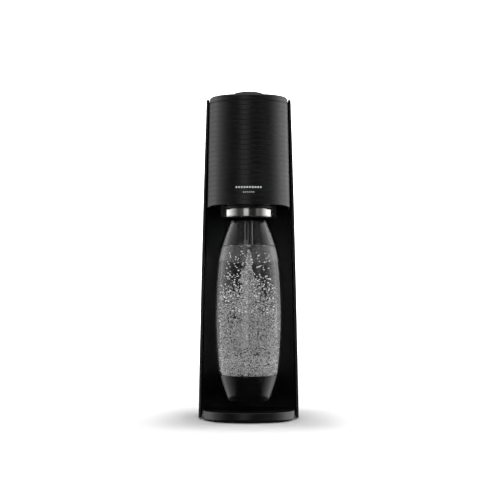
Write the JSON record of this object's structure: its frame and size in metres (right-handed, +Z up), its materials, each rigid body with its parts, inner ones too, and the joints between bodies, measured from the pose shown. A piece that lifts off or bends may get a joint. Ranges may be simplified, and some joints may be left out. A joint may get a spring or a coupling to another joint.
{
  "type": "soda carbonator",
  "caption": "Upright soda carbonator with a ribbed head, tilting snap-lock and clear bottle, and a gas cylinder behind a pull-off rear cover.",
  "frame": {"origin": "on the worktop under the middle of the machine's bounding box", "axes": "+X to the user's right as they face the machine, +Y to the rear, +Z up; the bottle and button face -Y"},
  "size_m": [0.132, 0.182, 0.4294],
  "materials": {
    "shell_plastic": "satin black moulded plastic",
    "gloss_black": "polished black plastic",
    "collar_black": "fine matt black plastic",
    "inner_plastic": "natural dark grey plastic",
    "rubber": "matt rubber",
    "clear_bottle": "clear polished",
    "brushed_band": "brushed round the band",
    "steel": "plain drawn steel",
    "aluminium": "brushed aluminium",
    "brass": "turned brass",
    "label": "printed film",
    "pink_plastic": "satin coloured plastic",
    "pale_plastic": "pale plastic"
  },
  "bodies": {
    "housing": {"base_pan": "shell_plastic", "bottom_plate": "inner_plastic", "base_screws": "steel", "front_left_foot": "rubber", "front_right_foot": "rubber", "rear_left_foot": "rubber", "rear_right_foot": "rubber", "left_side_shell": "shell_plastic", "right_side_shell": "shell_plastic", "bottle_bay_liner": "gloss_black", "inner_frame": "inner_plastic", "head_drum": "shell_plastic", "top_cover": "shell_plastic", "head_bottom_ring": "gloss_black", "head_deck": "inner_plastic", "deck_screws": "steel", "snap_lock_yoke": "inner_plastic", "button_guide": "inner_plastic", "button_spring": "steel", "rocker_pin": "steel", "valve_block": "inner_plastic", "lock_lever_pins": "steel", "gas_hose": "rubber", "hose_swivel": "brass", "cylinder_cradle": "inner_plastic", "cylinder_saddle": "inner_plastic"},
    "button": {"carbonating_button": "gloss_black", "button_stem": "inner_plastic"},
    "rocker": {"rocker_lever": "steel"},
    "push_pin": {"push_pin": "steel"},
    "snap_lock": {"snap_lock_housing": "collar_black", "snap_lock_pins": "steel", "trim_band": "brushed_band", "nozzle_manifold": "inner_plastic", "relief_valve": "brass", "mouth_seal": "rubber", "nozzle_sleeve": "gloss_black", "nozzle_tip": "gloss_black"},
    "left_jaw": {"left_gripper_jaw": "collar_black"},
    "right_jaw": {"right_gripper_jaw": "collar_black"},
    "bottle": {"bottle_body": "clear_bottle", "bottle_base_cup": "gloss_black"},
    "cover": {"rear_cover": "shell_plastic", "latch_spring": "steel"},
    "latch_button": {"cover_latch_button": "gloss_black"},
    "gas_cylinder": {"cylinder_shell": "aluminium", "cylinder_label": "label", "cylinder_base_ring": "pale_plastic", "cylinder_valve": "brass", "valve_adaptor": "pink_plastic", "adaptor_ring": "pale_plastic", "valve_spring": "steel"},
    "valve_pin": {"valve_pin": "steel"},
    "lock_lever": {"lock_lever": "pink_plastic"},
    "coupling": {"coupling_piston": "inner_plastic", "coupling_seal": "rubber"}
  },
  "joints": [
    {"name": "button_press", "type": "slide", "parent": "housing", "child": "button", "axis": [0, 0, -1], "range_m": [0, 0.008], "stiffness_N_per_m": 800, "springref_m": -0.005, "deforming": ["button_spring"]},
    {"name": "rocker_swing", "type": "hinge", "parent": "housing", "child": "rocker", "pos_m": [0, 0.076, 0.398], "axis": [1, 0, 0], "range_deg": [0, 4.5]},
    {"name": "push_pin_press", "type": "slide", "parent": "housing", "child": "push_pin", "axis": [0, 0, -1], "range_m": [0, 0.0017]},
    {"name": "snap_lock_tilt", "type": "hinge", "parent": "housing", "child": "snap_lock", "pos_m": [0, -0.017, 0.305], "axis": [-1, 0, 0], "range_deg": [0, 15]},
    {"name": "bottle_drop", "type": "slide", "parent": "snap_lock", "child": "bottle", "axis": [0, 0, -1], "range_m": [0, 0.008]},
    {"name": "left_jaw_open", "type": "slide", "parent": "snap_lock", "child": "left_jaw", "axis": [-1, 0, 0], "range_m": [0, 0.0061]},
    {"name": "right_jaw_open", "type": "slide", "parent": "snap_lock", "child": "right_jaw", "axis": [1, 0, 0], "range_m": [0, 0.0061]},
    {"name": "rear_cover_pull", "type": "slide", "parent": "housing", "child": "cover", "axis": [0, 1, 0], "range_m": [0, 0.16]},
    {"name": "cylinder_pull", "type": "slide", "parent": "housing", "child": "gas_cylinder", "axis": [0, 1, 0], "range_m": [0, 0.0665]},
    {"name": "lock_lever_lift", "type": "hinge", "parent": "housing", "child": "lock_lever", "pos_m": [0, 0.056, 0.386], "axis": [1, 0, 0], "range_deg": [0, 112]},
    {"name": "coupling_lift", "type": "slide", "parent": "housing", "child": "coupling", "axis": [0, 0, 1], "range_m": [0, 0.0031]},
    {"name": "valve_pin_press", "type": "slide", "parent": "gas_cylinder", "child": "valve_pin", "axis": [0, 0, -1], "range_m": [0, 0.0017], "deforming": ["valve_spring"]},
    {"name": "cover_latch_press", "type": "slide", "parent": "cover", "child": "latch_button", "axis": [0, 0, -1], "range_m": [0, 0.0025], "stiffness_N_per_m": 600, "springref_m": -0.002, "deforming": ["latch_spring"]}
  ],
  "couplings": [
    {"joint": "rocker_swing", "follows": "button_press", "rad_per_m": 9.5},
    {"joint": "push_pin_press", "follows": "button_press", "ratio": 0.2},
    {"joint": "valve_pin_press", "follows": "button_press", "ratio": 0.2},
    {"joint": "left_jaw_open", "follows": "bottle_drop", "ratio": 0.75},
    {"joint": "right_jaw_open", "follows": "bottle_drop", "ratio": 0.75},
    {"joint": "cylinder_pull", "follows": "rear_cover_pull", "ratio": 0.4125},
    {"joint": "lock_lever_lift", "follows": "rear_cover_pull", "rad_per_m": 12},
    {"joint": "coupling_lift", "follows": "rear_cover_pull", "ratio": 0.01875}
  ]
}
